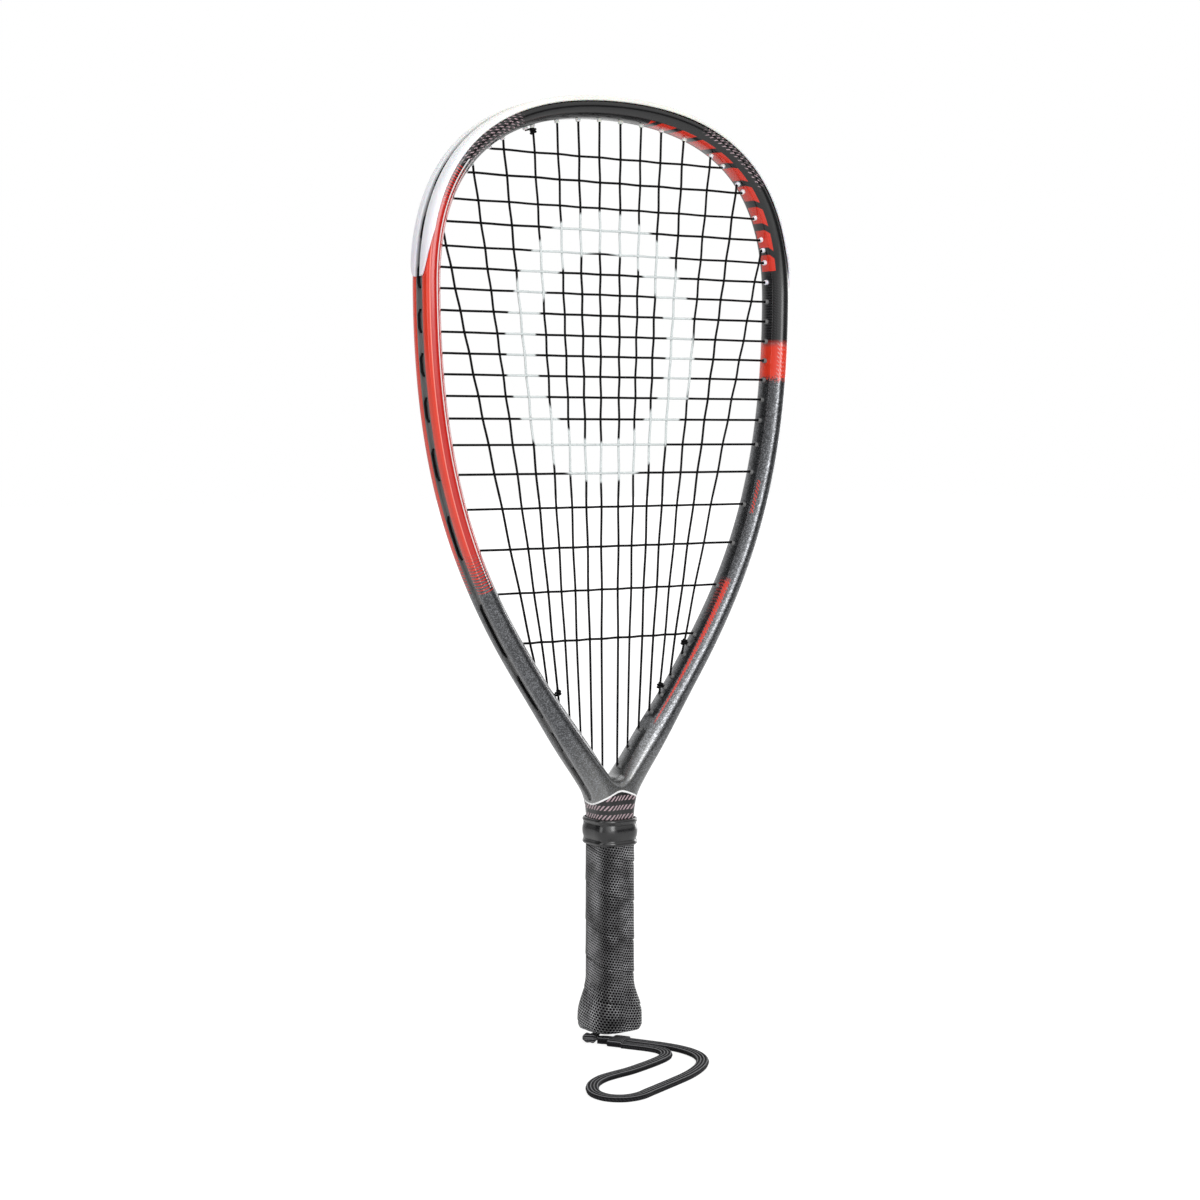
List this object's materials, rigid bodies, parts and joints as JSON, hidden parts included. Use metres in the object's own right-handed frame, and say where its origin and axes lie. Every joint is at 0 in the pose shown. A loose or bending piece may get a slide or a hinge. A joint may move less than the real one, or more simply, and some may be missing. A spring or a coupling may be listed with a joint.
{
  "type": "racquetball racket",
  "caption": "A strung teardrop racquetball racket in gunmetal, black and red, with a clear head guard, a perforated black grip and a flat wrist lanyard.",
  "frame": {"origin": "the centre of the grip, on the racket's long axis and 62 mm above the butt", "axes": "+Z runs along the racket from the butt to the head, +X across the head to the player's right in the front view, +Y out of the back of the string bed"},
  "size_m": [0.2652, 0.1334, 0.5648],
  "materials": {
    "frame_shell": "lacquered composite",
    "clear_guard": "translucent",
    "grey_grommets": "matte",
    "string": "satin",
    "pallet_foam": "matte",
    "grip_skin": "perforated satin",
    "collar_rubber": "satin",
    "cap_plastic": "matte",
    "staple_wire": "bare",
    "lanyard_braid": "woven"
  },
  "bodies": {
    "root": {"frame": "frame_shell", "bumper_guard": "clear_guard", "left_grommet_strip": "grey_grommets", "right_grommet_strip": "grey_grommets", "main_string": "string", "cross_string": "string", "front_handle_pallet": "pallet_foam", "rear_handle_pallet": "pallet_foam", "grip_wrap": "grip_skin", "grip_collar": "collar_rubber", "butt_cap": "cap_plastic", "left_cap_staple": "staple_wire", "right_cap_staple": "staple_wire", "lanyard_cord": "lanyard_braid", "lanyard_keeper": "lanyard_braid", "lanyard_tail": "lanyard_braid", "lanyard_knot": "lanyard_braid"}
  },
  "joints": []
}
